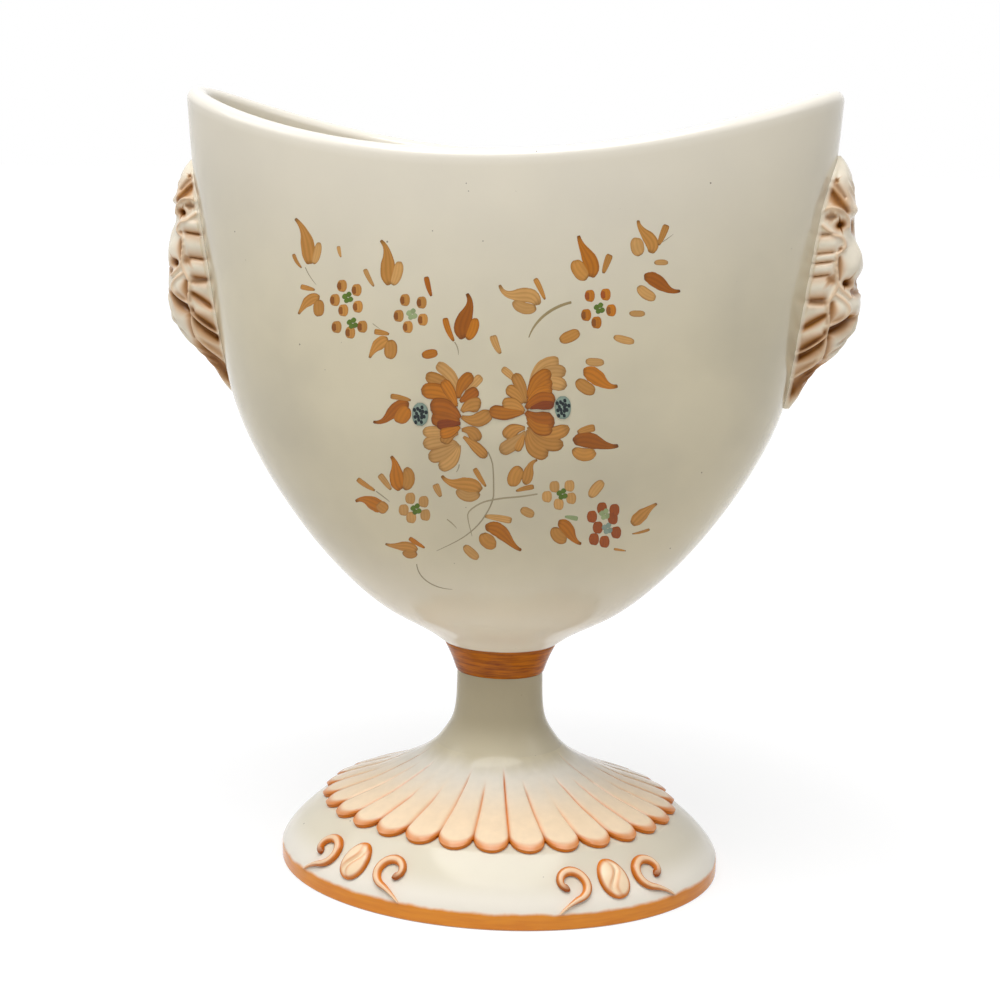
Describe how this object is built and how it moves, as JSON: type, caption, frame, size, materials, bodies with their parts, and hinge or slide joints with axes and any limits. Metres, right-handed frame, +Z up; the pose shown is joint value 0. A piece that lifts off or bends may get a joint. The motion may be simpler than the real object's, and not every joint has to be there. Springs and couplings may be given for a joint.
{
  "type": "footed urn vase",
  "caption": "Deep oval urn vase with a saddle-shaped rim, a relief mask on each end, a narrow collar and a hollow oval foot under a fluted apron of petals.",
  "frame": {"origin": "on the table under the middle of the foot ring", "axes": "+Z up; +X along the length of the oval, towards the right mask; the painted front faces -Y"},
  "size_m": [0.2459, 0.1332, 0.2798],
  "materials": {
    "bowl_glaze": "glossy cream glaze with painted flowers",
    "collar_glaze": "brushed amber glaze",
    "foot_glaze": "glossy cream glaze with a terracotta edge",
    "apron_glaze": "glossy cream glaze washed with peach",
    "mask_glaze": "glossy cream glaze with peach and brown in the hollows",
    "sprig_glaze": "glossy glaze, orange strokes over peach"
  },
  "bodies": {
    "root": {"bowl": "bowl_glaze", "collar": "collar_glaze", "pedestal": "foot_glaze", "shell_apron": "apron_glaze", "mask_left": "mask_glaze", "mask_right": "mask_glaze", "scroll_front_left_a": "sprig_glaze", "bud_front_left": "sprig_glaze", "scroll_front_left_b": "sprig_glaze", "scroll_front_right_a": "sprig_glaze", "bud_front_right": "sprig_glaze", "scroll_front_right_b": "sprig_glaze", "scroll_back_right_a": "sprig_glaze", "bud_back_right": "sprig_glaze", "scroll_back_right_b": "sprig_glaze", "scroll_back_left_a": "sprig_glaze", "bud_back_left": "sprig_glaze", "scroll_back_left_b": "sprig_glaze"}
  },
  "joints": []
}
